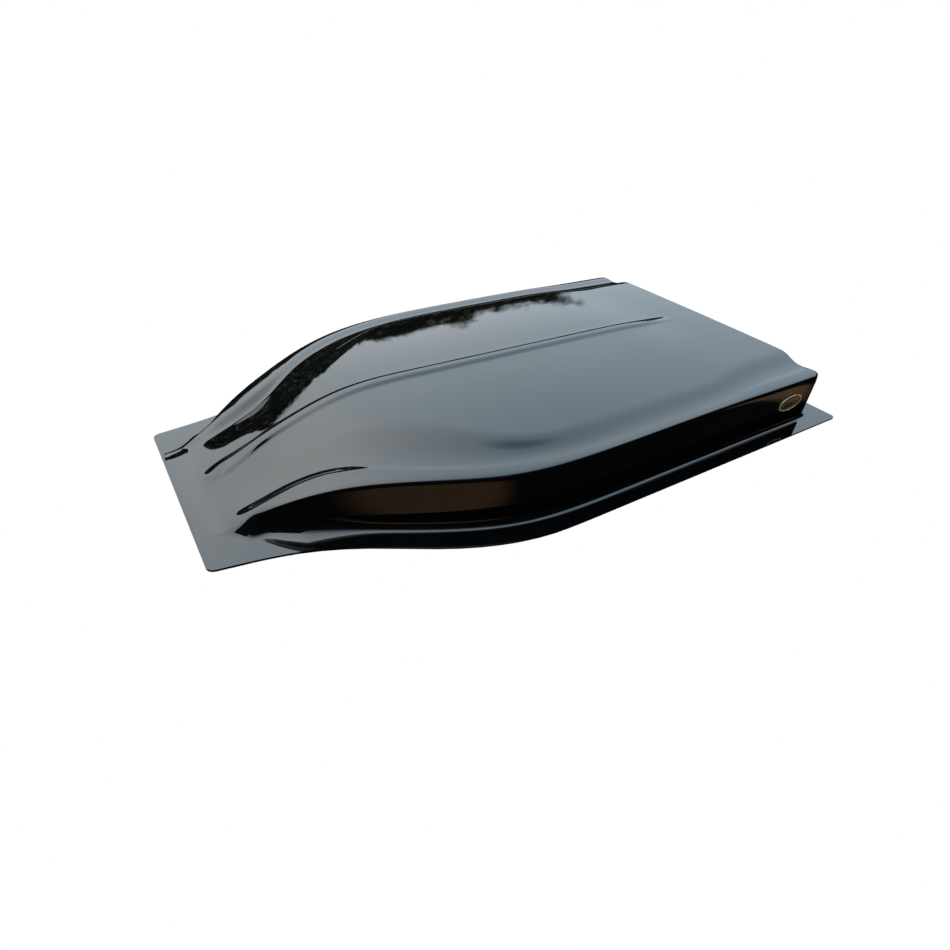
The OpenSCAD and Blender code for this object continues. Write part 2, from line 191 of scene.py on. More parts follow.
def bead_half(s):
    return key_values(s, [(50, 23), (130, 14)])


def bead(x, s):
    height = key_values(s, [(26, 0), (66, 6), (200, 3.6), (760, 3.6), (900, 0)])
    flank = key_values(s, [(60, 18), (130, 11)])
    return height * smooth((bead_half(s) - np.abs(x)) / flank)


def top_h(x_signed, s):
    """Height of the top surface at a plan position, out to the crest of the ridge."""
    x = np.abs(x_signed)
    g, floor, centre = groove_half(s), groove_floor(s), centre_h(s)
    flank, a = g * flank_share(s), arch_share(s)
    drop = a * (x / g) ** 2 + (1 - a) * smooth((x - g + flank) / flank)
    inside = centre - (centre - floor) * drop + bead(x, s)
    outside = floor + (ridge_top(s) - floor) * smooth((x - g) / groove_gap(s))
    return np.where(x < g, inside, outside)


# ---- Small object helpers ----
def new_object(name, verts, faces, smooth_angle=None):
    mesh = bpy.data.meshes.new(name)
    mesh.from_pydata([tuple(v) for v in verts], [], [tuple(int(i) for i in f) for f in faces])
    mesh.update()
    obj = bpy.data.objects.new(name, mesh)
    bpy.context.scene.collection.objects.link(obj)
    if smooth_angle is not None:
        mesh.shade_smooth()
        mesh.set_sharp_from_angle(angle=math.radians(smooth_angle))
    return obj


def apply_modifiers(obj):
    evaluated = obj.evaluated_get(bpy.context.evaluated_depsgraph_get())
    mesh = bpy.data.meshes.new_from_object(evaluated)
    obj.modifiers.clear()
    obj.data = mesh
    return obj


def shade(obj, angle=35):
    obj.data.shade_smooth()
    obj.data.set_sharp_from_angle(angle=math.radians(angle))
    return obj


def outward(obj):
    """Turns every face outwards."""
    bm = bmesh.new()
    bm.from_mesh(obj.data)
    bmesh.ops.recalc_face_normals(bm, faces=bm.faces)
    bm.to_mesh(obj.data)
    bm.free()
    return obj


def loft(name, loops, ring=False):
    """A skin over closed loops of points, capped at both ends, or joined last to first as a ring."""
    n = len(loops[0])
    faces = []
    for k in range(len(loops) if ring else len(loops) - 1):
        a, b = k * n, (k + 1) % len(loops) * n
        faces += [(a + i, a + (i + 1) % n, b + (i + 1) % n, b + i) for i in range(n)]
    if not ring:
        faces += [tuple(range(n)), tuple((len(loops) - 1) * n + i for i in range(n))]
    return shade(outward(new_object(name, [p for loop in loops for p in loop], faces)))


def turned(name, profile, place, axis="Y", ring=False, sides=32):
    """A turned piece; profile is a list of (distance along the axis, radius), in millimetres."""
    loops = []
    for along, radius in profile:
        loop = []
        for i in range(sides):
            t = 2 * math.pi * i / sides
            across = (radius * math.cos(t), radius * math.sin(t))
            point = (along, *across) if axis == "X" else (across[0], along, across[1])
            loop.append(Vector(place) + Vector(point) * MM)
        loops.append(loop)
    return loft(name, loops, ring)


def merged(name, pieces):
    """One object from several, which it takes the place of."""
    bm = bmesh.new()
    for piece in pieces:
        bm.from_mesh(piece.data)
        bpy.data.objects.remove(piece)
    mesh = bpy.data.meshes.new(name)
    bm.to_mesh(mesh)
    bm.free()
    obj = bpy.data.objects.new(name, mesh)
    bpy.context.scene.collection.objects.link(obj)
    return shade(obj)


def repeated(name, piece, offsets):
    """Copies of a piece at several offsets, as one object."""
    copies = []
    for offset in offsets:
        copy = bpy.data.objects.new(name, piece.data.copy())
        copy.data.transform(Matrix.Translation(offset))
        bpy.context.scene.collection.objects.link(copy)
        copies.append(copy)
    bpy.data.objects.remove(piece)
    return merged(name, copies)


def boolean(obj, other, operation="DIFFERENCE"):
    modifier = obj.modifiers.new("boolean", "BOOLEAN")
    modifier.operation, modifier.solver, modifier.object = operation, "EXACT", other
    apply_modifiers(obj)
    bpy.data.objects.remove(other)
    return shade(obj)


def rounded_rect(y, low, high, inset=0.0, corner=0.0, steps=5):
    """A loop at one y; low and high are (x, z) corners in metres, the rest is in millimetres."""
    radius = max(corner - inset, 0.02) * MM
    x0, z0 = low[0] + inset * MM + radius, low[1] + inset * MM + radius
    x1, z1 = high[0] - inset * MM - radius, high[1] - inset * MM - radius
    loop = []
    for quarter, (x, z) in enumerate(((x1, z1), (x0, z1), (x0, z0), (x1, z0))):
        for i in range(steps + 1):
            t = math.radians(90 * (quarter + i / steps))
            loop.append((x + radius * math.cos(t), y, z + radius * math.sin(t)))
    return loop


# ---- The shell: a grid for the top, then rings down the wall and out over the flange ----
def shell_rows():
    nose = FIRST_S + (300 - FIRST_S) * (np.arange(90) / 90) ** 1.1
    body = np.linspace(300, LAST_S - 14, 100)
    return np.concatenate([nose, body, np.linspace(LAST_S - 14, LAST_S, 5)[1:]])


# Points across: bead, crown, flank, groove side; then rings down the edge, wall, fillet and flange
BEAD_COLUMNS, CROWN_COLUMNS, FLANK_COLUMNS, GROOVE_COLUMNS = 8, 11, 12, 13
HALF_COLUMNS = BEAD_COLUMNS + CROWN_COLUMNS + FLANK_COLUMNS + GROOVE_COLUMNS
EDGE_ANGLES = np.radians(np.linspace(6, 86, 15))
WALL_STEPS, FILLET_STEPS, FLANGE_STEPS = 6, 9, 5

# A point of the top's border: its place, how far the wall's foot lies outwards (to the side, and
# along the cover), and the point (x, s) of the flange's edge beyond it
Border = namedtuple("Border", "x s z out along edge")


def column_xs(s):
    """Half widths of the grid's columns at a station, from the centreline to the crest."""
    g, b = groove_half(s), bead_half(s)
    flank_start = g * (1 - flank_share(s))
    return np.concatenate([np.linspace(0, b, BEAD_COLUMNS + 1)[:-1],
                           np.linspace(b, flank_start, CROWN_COLUMNS + 1)[:-1],
                           np.linspace(flank_start, g, FLANK_COLUMNS + 1)[:-1],
                           np.linspace(g, crest_half(s), GROOVE_COLUMNS + 1)])


def corner_warp(x, s):
    """Bends the square plan corner of the rear wall into a round one."""
    x0, s0 = foot_half(LAST_S) - CORNER_R, REAR_WALL_S - CORNER_R
    p, q = (np.abs(x) - x0) / CORNER_R, (s - s0) / CORNER_R
    if p <= 0 or q <= 0:
        return np.array([x, s])
    p, q = min(p, 1), min(q, 1)
    return np.array([np.sign(x) * (x0 + CORNER_R * p * math.sqrt(1 - q * q / 2)),
                     s0 + CORNER_R * q * math.sqrt(1 - p * p / 2)])


def flange_edge(x_share, s):
    """A point of the flange's edge, with its round corners; x_share is -1 to 1 across the width."""
    r, half = FLANGE_CORNER_R, flange_half(s)
    x = x_share * half
    p = (abs(x) - half) / r + 1
    q = 1 - s / r if s < r else (s - COVER_L) / r + 1
    if p <= 0 or q <= 0:
        return np.array([x, s])
    m = np.array([p, q]) / math.hypot(p, q)
    return np.array([np.sign(x) * (half + (m[0] - 1) * r),
                     (1 - m[1]) * r if s < r else COVER_L + (m[1] - 1) * r])


def top_grid():
    """Points (x, station, height) of the top surface, in rows from front to rear."""
    rows = shell_rows()
    grid = np.zeros((len(rows), 2 * HALF_COLUMNS + 1, 3))
    for r, s in enumerate(rows):
        xs = column_xs(s)
        line = np.concatenate([-xs[:0:-1], xs])
        grid[r, :, 0], grid[r, :, 1] = line, s
        grid[r, :, 2] = top_h(line, np.full(len(line), s))
    return grid


def border_point(grid, r, c):
    last_row, last_column = grid.shape[0] - 1, grid.shape[1] - 1
    x, s, z = grid[r, c]
    side, rear, front = c in (0, last_column), r == last_row, r == 0
    sign = np.sign(c - HALF_COLUMNS)
    out = sign * (foot_half(s) - crest_half(s)) if side else 0.0
    along = EDGE_R if rear else -FIRST_S / 2 if front else 0.0
    if rear or front:
        edge = flange_edge(sign if side else x / crest_half(s), COVER_L if rear else 0.0)
    else:
        edge = flange_edge(sign, COVER_L * (s - FIRST_S) / (LAST_S - FIRST_S))
    return Border(x, s, z, out, along, edge)


def edge_ring(border, angle):
    """A ring of the rounded edge between the top and the wall."""
    ring = []
    for p in border:
        reach = math.sin(angle) * (edge_share(p.s) if p.out else 1)
        height_left = math.cos(angle) ** mix(0.6, 1 / 12, smooth(p.z / 60))
        ring.append([*corner_warp(p.x + p.out * reach, p.s + p.along * reach),
                     mix(fillet_r(p.s, p.z), p.z, height_left)])
    return ring


def wall_ring(border, edge, t):
    """A ring of the wall; t is its share of the way from the rounded edge down to the fillet."""
    ring = []
    for p, (x, s, z) in zip(border, edge):
        foot = corner_warp(p.x + p.out, p.s + p.along)
        ring.append([*mix(np.array([x, s]), foot, t), mix(z, fillet_r(p.s, p.z), t)])
    return ring


def fillet_ring(border, angle):
    """A ring of the fillet between the wall and the flange."""
    ring = []
    for p in border:
        radius = fillet_r(p.s, p.z)
        foot = corner_warp(p.x + p.out, p.s + p.along)
        away = (p.edge - foot) / max(np.linalg.norm(p.edge - foot), 1e-6)
        ring.append([*(foot + away * radius * (1 - math.cos(angle))), radius * (1 - math.sin(angle))])
    return ring


def flange_ring(border, toe, t):
    return [[*mix(np.array(here[:2]), p.edge, t), 0.0] for p, here in zip(border, toe)]


def soften_nose(rings, border):
    """Lets the steep side of the ridge run out in a soft hill near the front edge."""
    last = len(rings) - FLANGE_STEPS - 1
    for j, p in enumerate(border):
        softness = 1 - smooth((p.s - SOFT_S[0]) / (SOFT_S[1] - SOFT_S[0]))
        if softness == 0 or p.out == 0:
            continue
        crest = np.array([p.x, p.s])
        away = (p.edge - crest) / max(np.linalg.norm(p.edge - crest), 1e-6)
        toe = crest + away * soft_min(TOE_RISE * p.z + TOE_START, TOE_LIMIT, 9)
        for k in range(last + 1):
            q = (k + 1) / (last + 1)
            soft = [*mix(crest, toe, q), p.z * (1 - q) ** 2 * (1 + 1.5 * q)]
            rings[k][j] = list(mix(np.array(rings[k][j]), np.array(soft), softness))
        for k in range(last + 1, len(rings)):
            step = (k - last) / FLANGE_STEPS
            rings[k][j] = [*mix(np.array(rings[last][j][:2]), p.edge, step), 0.0]


def shell_skin():
    """The shell's outer face, as an open sheet whose faces look outwards."""
    grid = top_grid()
    rows, columns = grid.shape[0] - 1, grid.shape[1] - 1
    loop = ([(r, columns) for r in range(rows + 1)] + [(rows, c) for c in range(columns - 1, -1, -1)]
            + [(r, 0) for r in range(rows - 1, -1, -1)] + [(0, c) for c in range(1, columns)])
    border = [border_point(grid, r, c) for r, c in loop]
    rings = [edge_ring(border, angle) for angle in EDGE_ANGLES]
    edge = rings[-1]
    rings += [wall_ring(border, edge, i / WALL_STEPS) for i in range(1, WALL_STEPS + 1)]
    rings += [fillet_ring(border, math.radians(90 * i / FILLET_STEPS))
              for i in range(1, FILLET_STEPS + 1)]
    toe = rings[-1]
    rings += [flange_ring(border, toe, i / FLANGE_STEPS) for i in range(1, FLANGE_STEPS + 1)]
    soften_nose(rings, border)

    points = np.concatenate([grid.reshape(-1, 3)] + [np.array(ring) for ring in rings])
    points[:, 1] -= COVER_L / 2
    points[:, 2] += FLANGE_Z
    width, count = columns + 1, len(loop)

    def index(k, j):
        """Point j of ring k, where ring 0 is the grid's own border."""
        j %= count
        return loop[j][0] * width + loop[j][1] if k == 0 else (rows + 1) * width + (k - 1) * count + j

    faces = [(r * width + c, r * width + c + 1, (r + 1) * width + c + 1, (r + 1) * width + c)
             for r in range(rows) for c in range(columns)]
    faces += [(index(k, j), index(k + 1, j), index(k + 1, j + 1), index(k, j + 1))
              for k in range(len(rings)) for j in range(count)]
    obj = new_object("cover_shell_skin", points * MM, faces)
    bm = bmesh.new()
    bm.from_mesh(obj.data)
    bmesh.ops.recalc_face_normals(bm, faces=bm.faces)
    if sum(f.normal.z for f in bm.faces) < 0:
        bmesh.ops.reverse_faces(bm, faces=bm.faces)
    bm.to_mesh(obj.data)
    bm.free()
    return obj


def build_shell():
    """The skin with its sheet thickness, the outlet opening and the screw holes."""
    obj = shell_skin()
    solid = obj.modifiers.new("thickness", "SOLIDIFY")
    solid.thickness = SHEET_T * MM
    solid.offset = -1
    apply_modifiers(obj)
    wall_y = outlet.gasket[0].y
    cutters = [loft("opening", [rounded_rect(wall_y + y * MM, outlet.sill, outlet.head)
                                for y in (-8, 4)])]
    cutters += [turned("hole", [(-8, SCREW_HOLE_R), (4, SCREW_HOLE_R)], (x, wall_y, z))
                for x, z in outlet.screw_places]
    return boolean(obj, merged("cutters", cutters))


# ---- Outlet and grille: places from the frame ----
OPENING_W = 430                 # opening in the rear wall
GASKET_RIM = 8                  # gasket's edge to the opening
SCREEN_RIM_X, SCREEN_RIM_Z = 6, 3.5     # screen's edge to the grille's clear opening
SCREW_HOLE_R, SCREW_HEAD_R = 1.6, 3.0
INNER_SCREWS = 7 / 19           # place of the inner screws, as a share of the outer ones'
MAGNET_R, MAGNET_POCKET = 3.0, 2.0
PIN_R, PIN_HOLE_R, PIN_HOLE_L = 1.5, 1.55, 16.2
BARREL_R = 4.0                  # ears and barrel round the hinge pins


class Outlet:
    """Places around the outlet, in metres, worked out from the CAD nodes."""

    def __init__(self):
        self.frame, self.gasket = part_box("outlet_frame"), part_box("frame_gasket")
        self.screen, self.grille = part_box("insect_screen"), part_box("grille_frame")
        self.screws, self.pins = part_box("frame_screws"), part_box("hinge_pins")
        low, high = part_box("frame_magnets")
        self.face = high.y
        self.magnet_xs = (low.x + MAGNET_R * MM, 0.0, high.x - MAGNET_R * MM)
        self.axis = ((self.pins[0].y + self.pins[1].y) / 2, (self.pins[0].z + self.pins[1].z) / 2)
        low, high = self.screws
        outer_x = high.x - SCREW_HEAD_R * MM
        self.screw_zs = (low.z + SCREW_HEAD_R * MM, high.z - SCREW_HEAD_R * MM)
        self.screw_places = [(x, z) for x in (-outer_x, -outer_x * INNER_SCREWS,
                                              outer_x * INNER_SCREWS, outer_x)
                             for z in self.screw_zs]
        # Opening in the wall and the frame, then the clear opening of the grille
        self.sill = (-OPENING_W / 2 * MM, self.gasket[0].z + GASKET_RIM * MM)
        self.head = (OPENING_W / 2 * MM, self.gasket[1].z - GASKET_RIM * MM)
        rim_x, rim_z = SCREEN_RIM_X * MM, SCREEN_RIM_Z * MM
        self.light_low = (self.screen[0].x + rim_x, self.screen[0].z + rim_z)
        self.light_high = (self.screen[1].x - rim_x, self.screen[1].z - rim_z)

    def magnet_pockets(self, y):
        """Cutters for the magnets' pockets in a face at y."""
        return [turned("pocket", [(-MAGNET_POCKET, MAGNET_R), (MAGNET_POCKET, MAGNET_R)],
                       (x, y, self.screw_zs[0])) for x in self.magnet_xs]

    def at_screws(self, name, piece):
        """Copies of the piece made at the first screw, one at each screw."""
        x0, z0 = self.screw_places[0]
        return repeated(name, piece, [(x - x0, 0, z - z0) for x, z in self.screw_places])


outlet = Outlet()


def build_outlet_frame():
    low, high = (outlet.gasket[0].x, outlet.gasket[0].z), (outlet.gasket[1].x, outlet.gasket[1].z)
    back, face, ease = outlet.frame[0].y, outlet.face, 0.7
    outer = [(0, back), (0, face - ease * MM), (0.3 * ease, face - 0.3 * ease * MM), (ease, face)]
    loops = [rounded_rect(y, low, high, inset, 3) for inset, y in outer]
    loops += [rounded_rect(y, outlet.sill, outlet.head, -inset, 1.5) for inset, y in reversed(outer)]
    moulding = loft("outlet_frame_moulding", loops, ring=True)
    # Ears that carry the pins beside the ends of the grille
    axis_y, axis_z = outlet.axis
    inside, end = outlet.grille[1].x + 1 * MM, high[0]
    radius, root = BARREL_R * MM, face - 1 * MM
    arc = [(axis_y + radius * math.sin(t), axis_z + radius * math.cos(t))
           for t in np.linspace(0, math.pi, 17)]
    section = [(root, axis_z + radius)] + arc + [(root, axis_z - radius)]
    for side in (-1, 1):
        ear = loft("ear", [[(side * x, y, z) for y, z in section] for x in (inside, end - 0.05 * MM)])
        boolean(moulding, ear, "UNION")
        hole = turned("pin_hole", [(-30, PIN_R), (30, PIN_R)], (side * end, axis_y, axis_z), "X")
        boolean(moulding, hole)
    countersunk = [(-8, SCREW_HOLE_R), (-1.7, SCREW_HOLE_R), (0.02, 3.3), (2, 3.3)]
    holes = [turned("hole", countersunk, (x, face, z)) for x, z in outlet.screw_places]
    return boolean(moulding, merged("holes", holes + outlet.magnet_pockets(face)))


def build_grille_frame():
    low_x, back, low_z = outlet.grille[0]
    high_x = outlet.grille[1].x
    low, high = (low_x, low_z), (high_x, outlet.axis[1] - 1 * MM)
    face, step, ease = back + 8 * MM, back + 3 * MM, 0.8
    outer = [(ease * 0.6, back), (0, back + ease * 0.6 * MM), (0, face - ease * MM),
             (0.3 * ease, face - 0.3 * ease * MM), (ease, face)]
    rebate = [(corner.x, corner.z) for corner in outlet.screen]
    light = (outlet.light_low, outlet.light_high)
    loops = [rounded_rect(y, low, high, inset, 2.5) for inset, y in outer]
    loops += [rounded_rect(y, *light, -inset, 1.5) for inset, y in reversed(outer[2:])]
    loops += [rounded_rect(step, *light, 0, 1.5), rounded_rect(step, *rebate, 0, 1.5),
              rounded_rect(back, *rebate, 0, 1.5)]
    grille = loft("grille_moulding", loops, ring=True)
    half = high_x / MM
    rounding = [(half, BARREL_R - 0.6), (half - 0.2, BARREL_R - 0.2), (half - 0.6, BARREL_R - 0.03)]
    profile = [(-x, radius) for x, radius in rounding] + rounding[::-1]
    boolean(grille, turned("barrel", profile, (0, *outlet.axis), "X", sides=48), "UNION")
    pin_hole = [(-PIN_HOLE_L, PIN_HOLE_R), (PIN_HOLE_L, PIN_HOLE_R)]
    holes = [turned("pin_hole", pin_hole, (side * high_x, *outlet.axis), "X") for side in (-1, 1)]
    return boolean(grille, merged("holes", holes + outlet.magnet_pockets(back)))


def build_vanes():
    """Slats with rounded edges, tilted to shed rain."""
    low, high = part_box("louvre_vanes")
    tilt, thick, depth, count = math.radians(38), 1.4 * MM, 9 * MM, 4
    height = depth * math.sin(tilt) + thick * math.cos(tilt)
    pitch = (high.z - low.z - height) / (count - 1)
    middle_y = (low.y + high.y) / 2
    slats = []
    for i in range(count):
        middle_z = low.z + height / 2 + pitch * i
        section = []
        for end in (1, -1):
            for t in np.linspace(-math.pi / 2, math.pi / 2, 9):
                along = end * (depth / 2 - thick / 2 + thick / 2 * math.cos(t))
                across = end * thick / 2 * math.sin(t)
                section.append((middle_y + along * math.cos(tilt) + across * math.sin(tilt),
                                middle_z - along * math.sin(tilt) + across * math.cos(tilt)))
        slats.append(loft("slat", [[(x, y, z) for y, z in section] for x in (low.x, high.x)]))
    return merged("louvre_slats", slats)


def build_screen():
    """Woven wire cloth: each wire passes over and under the ones that cross it."""
    low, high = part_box("insect_screen")
    pitch, radius, sides = 2 * MM, 0.14 * MM, 4
    wave = (high.y - low.y) / 2 - radius - 0.01 * MM
    middle = (low.y + high.y) / 2
    verts, faces = [], []

    def wire(points, side_axis):
        first = len(verts)
        for x, y, z in points:
            for i in range(sides):
                t = 2 * math.pi * (i + 0.5) / sides
                off = radius * math.cos(t)
                verts.append((x + off * side_axis[0], y + radius * math.sin(t), z + off * side_axis[1]))
        for k in range(len(points) - 1):
            a = first + k * sides
            faces.extend((a + i, a + (i + 1) % sides, a + sides + (i + 1) % sides, a + sides + i)
                         for i in range(sides))
        faces.append(tuple(first + i for i in range(sides)))
        faces.append(tuple(first + (len(points) - 1) * sides + i for i in range(sides)))

    columns = int((high.x - low.x) / pitch)
    lines = int((high.z - low.z) / pitch)
    for c in range(columns):
        x = low.x + (c + 0.5) * pitch
        wire([(x, middle + wave * math.sin(math.pi * (j / 2 + c)), low.z + j * pitch / 2)
              for j in range(2 * lines + 1)], (1, 0))
    for n in range(lines):
        z = low.z + (n + 0.5) * pitch
        wire([(low.x + j * pitch / 2, middle - wave * math.sin(math.pi * (j / 2 + n)), z)
              for j in range(2 * columns + 1)], (0, 1))
    return shade(outward(new_object("screen_cloth", verts, faces)), 60)


def build_spline():
    """A round rubber cord laid in the rebate, over the edge of the screen."""
    low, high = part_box("screen_spline")
    radius, sides = (high.y - low.y) / 2, 16
    centre_y = (low.y + high.y) / 2
    loops = []
    for i in range(sides):
        t = 2 * math.pi * i / sides
        inset = (radius - radius * math.cos(t)) / MM
        loops.append(rounded_rect(centre_y + radius * math.sin(t), (low.x, low.z), (high.x, high.z),
                                  inset, 4, steps=8))
    return loft("spline_cord", loops, ring=True)


def build_screws():
    """Countersunk screws with a cross recess and a threaded tail."""
    tail, face = outlet.screws[0].y, outlet.screws[1].y
    length = (face - tail) / MM
    crest_r, root_r, pitch, plain_l = 1.48, 1.28, 0.5, 3.5
    start = -length + pitch
    thread = [(-length, 1.1), (-length + 0.3, 1.42)]
    for i in range(int((length - plain_l) / pitch)):
        thread += [(start + i * pitch, crest_r), (start + (i + 0.5) * pitch, root_r)]
    head = [(-2.2, crest_r), (-1.6, 1.5), (-0.25, 2.85), (-0.12, 2.97), (0, 2.92)]
    x, z = outlet.screw_places[0]
    screw = turned("screw", thread + head, (x, face, z))
    corners = ((-1, -1), (1, -1), (1, 1), (-1, 1))
    # Half widths and half lengths of the recess, at its bottom and above the head
    recess = ((-1.3, 0.3, 0.9), (0.5, 0.36, 1.75))
    for turn in (0, 90):
        arm = loft("arm", [[(a * w, y, b * h) for a, b in corners] for y, w, h in recess])
        arm.data.transform(Matrix.Translation((x, face, z))
                           @ Matrix.Rotation(math.radians(turn), 4, "Y") @ Matrix.Scale(MM, 4))
        boolean(screw, arm)
    return outlet.at_screws("countersunk_screws", screw)


def build_nuts():
    low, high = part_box("frame_nuts")
    x, z = outlet.screw_places[0]
    corner_r, bore_r, thick, ease = 3.17, 1.5, (high.y - low.y) / MM, 0.25
    loops = []
    for y, size in ((0, 0.9), (ease, 1), (thick - ease, 1), (thick, 0.9)):
        corners = [math.radians(60 * i) for i in range(6)]
        loops.append([(x + corner_r * size * math.cos(t) * MM, low.y + y * MM,
                       z + corner_r * size * math.sin(t) * MM) for t in corners])
    nut = loft("nut", loops)
    boolean(nut, turned("bore", [(-1, bore_r), (thick + 1, bore_r)], (x, low.y, z)))
    return outlet.at_screws("hex_nuts", nut)


def build_washers():
    low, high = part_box("frame_washers")
    x, z = outlet.screw_places[0]
    inner, outer, thick, ease = 1.6, 3.5, (high.y - low.y) / MM, 0.12
    ring = [(0, inner), (0, outer - ease), (ease, outer), (thick - ease, outer), (thick, outer - ease),
            (thick, inner)]
    return outlet.at_screws("washers", turned("washer", ring, (x, low.y, z), ring=True))


def build_magnets(node, name):
    low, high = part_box(node)
    radius, thick, ease = MAGNET_R, (high.y - low.y) / MM, 0.25
    rim = [(0, radius - ease), (ease * 0.3, radius - 0.3 * ease), (ease, radius)]
    profile = rim + [(thick - along, r) for along, r in reversed(rim)]
    disc = turned("magnet", profile, (0, low.y, outlet.screw_zs[0]))
    return repeated(name, disc, [(x, 0, 0) for x in outlet.magnet_xs])


def build_pins():
    """Pins with a domed head on the outside of the ear."""
    end = outlet.pins[1].x / MM
    shank_l, head_r = 25.2, 2.75
    half = [(end - shank_l, PIN_R - 0.4), (end - shank_l + 0.4, PIN_R), (end - 1.2, PIN_R),
            (end - 1.2, head_r - 0.15), (end - 1.05, head_r), (end - 0.5, head_r - 0.15),
            (end - 0.15, 1.9), (end, 0.8)]
    pins = []
    for side in (-1, 1):
        profile = [(side * x, radius) for x, radius in half]
        pins.append(turned("pin", profile, (0, *outlet.axis), "X"))
    return merged("headed_pins", pins)


# ---- Badge on the right wall ----
def wall_place():
    """Turns local (along the wall, up, out) in metres into the row frame at the badge."""
    low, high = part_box("badge_pad")
    turn = Matrix.Rotation(-math.atan(WALL_TAPER), 4, "Z")
    centre = Vector(((low.x + high.x) / 2 - PAD_T / 2 * MM, (low.y + high.y) / 2, (low.z + high.z) / 2))
    axes = Matrix(((0, 0, 1, 0), (1, 0, 0, 0), (0, 1, 0, 0), (0, 0, 0, 1)))
    return Matrix.Translation(centre) @ turn @ axes


def oval(name, profile, half_l, half_h, sides=96):
    """An oval disc on the wall; profile is a list of (inset from the edge, height), in millimetres."""
    turns = np.linspace(0, 2 * math.pi, sides, endpoint=False)
    loops = []
    for inset, height in profile:
        a, b = half_l - inset, half_h - inset
        loops.append([(a * math.cos(t) * MM, b * math.sin(t) * MM, height * MM) for t in turns])
    obj = loft(name, loops)
    obj.data.transform(wall_place())
    return obj


def emblem_stroke(points, width, low, high):
    """A raised stroke with square ends along a line of (along, up) points."""
    loops = []
    for i, (a, b) in enumerate(points):
        before, after = points[max(i - 1, 0)], points[min(i + 1, len(points) - 1)]
        way = Vector((after[0] - before[0], after[1] - before[1])).normalized()
        side = Vector((-way.y, way.x)) * width / 2
        loops.append([Vector((a + side.x * s, b + side.y * s, h)) * MM
                      for s, h in ((-1, low), (1, low), (0.8, high), (-0.8, high))])
    return loft("stroke", loops)


def build_badge():
    low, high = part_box("badge_plate")
    half_l, half_h = (high.y - low.y) / 2 / MM, (high.z - low.z) / 2 / MM
    base, rim = PAD_T, PAD_T + 1.2
    pad = oval("badge_foam_pad", [(2.1, 0), (2, 0.2), (2, base - 0.1), (2.1, base)], half_l, half_h)
    plate = oval("badge_dish", [(0.3, base), (0, base + 0.3), (0, rim - 0.45), (0.12, rim - 0.18),
                                (0.4, rim - 0.03), (0.8, rim), (1.8, rim - 0.02), (2.3, rim - 0.15),
                                (2.6, base + 0.6), (4, base + 0.6)], half_l, half_h)
    # Emblem: an oval line round three chevrons and a bowed base line
    floor, top = base + 0.58, base + 0.85
    line = oval("line", [(5, floor), (5, top), (5.8, top), (5.8, floor)], half_l, half_h)
    strokes = []
    for middle, peak, drop in ((-11.0, 3.0, 0.0), (0.0, 4.25, 1.6), (11.0, 3.0, 0.0)):
        points = [(middle + 4.2 * u, peak * (1 - abs(u)) - drop) for u in np.linspace(-1.35, 1.35, 11)]
        strokes.append(emblem_stroke(points, 1.7, floor, top))
    base_line = [(u, -4.6 + 1.2 * math.cos(u / 9)) for u in np.linspace(-16, 16, 25)]
    strokes.append(emblem_stroke(base_line, 1.2, floor, top))
    for stroke in strokes:
        stroke.data.transform(wall_place())
    emblem = merged("badge_emblem", [line] + strokes)
    dome = oval("badge_resin_dome", [(3, base + 0.6), (3, rim - 0.1), (3.4, rim + 0.05),
                                     (4.6, rim + 0.2), (7, rim + 0.28), (11, rim + 0.3)], half_l, half_h)
    return pad, plate, emblem, dome


# ---- Shader helpers ----
class Nodes:
    """Short forms for building a node tree; values may be numbers, colours or output sockets."""

    def __init__(self, tree):
        self.tree = tree

    def add(self, kind, settings=None, **inputs):
        node = self.tree.nodes.new("ShaderNode" + kind)
        for key, value in (settings or {}).items():
            setattr(node, key, value)
        for key, value in inputs.items():
            self.put(node.inputs[int(key[1:]) if key[0] == "i" and key[1:].isdigit()
                                 else key.replace("_", " ")], value)
        return node

    def put(self, socket, value):
        if isinstance(value, bpy.types.NodeSocket):
            self.tree.links.new(value, socket)
        elif isinstance(value, bpy.types.Node):
            self.tree.links.new(value.outputs[0], socket)
        elif isinstance(value, tuple) and len(value) == 3 and socket.type == "RGBA":
            socket.default_value = (*value, 1)
        else:
            socket.default_value = value

    def math(self, operation, a, b=0.0, clamp=False):
        return self.add("Math", {"operation": operation, "use_clamp": clamp}, i0=a, i1=b).outputs[0]

    def mix(self, share, a, b):
        node = self.add("Mix", {"data_type": "RGBA"}, i0=share, i6=a, i7=b)
        return node.outputs[2]

    def span(self, value, low, high, to_low=0.0, to_high=1.0, soft=False):
        kind = "SMOOTHSTEP" if soft else "LINEAR"
        return self.add("MapRange", {"interpolation_type": kind},
                        i0=value, i1=low, i2=high, i3=to_low, i4=to_high).outputs[0]

    def ramp(self, value, stops):
        node = self.add("ValToRGB", None, i0=value)
        elements = node.color_ramp.elements
        while len(elements) < len(stops):
            elements.new(0.5)
        for element, (position, colour) in zip(elements, stops):
            element.position = position
            element.color = (*colour, 1)
        return node.outputs[0]

    def noise(self, scale, detail=2.0, roughness=0.5, vector=None):
        node = self.add("TexNoise", None, Scale=scale, Detail=detail, Roughness=roughness)
        if vector is not None:
            self.put(node.inputs["Vector"], vector)
        return node.outputs[0]


# ---- Materials ----
def new_material(name):
    material = bpy.data.materials.new(name)
    material.use_nodes = True
    tree = material.node_tree
    return material, Nodes(tree), tree.nodes["Principled BSDF"]


def bumped(nodes, shader, height, distance, strength=1.0):
    """Adds surface relief from a 0..1 height; distance is its depth in metres."""
    bump = nodes.add("Bump", None, Strength=strength, Distance=distance, Height=height)
    nodes.put(shader.inputs["Normal"], bump)


def object_place(nodes):
    return nodes.add("TexCoord").outputs["Object"]


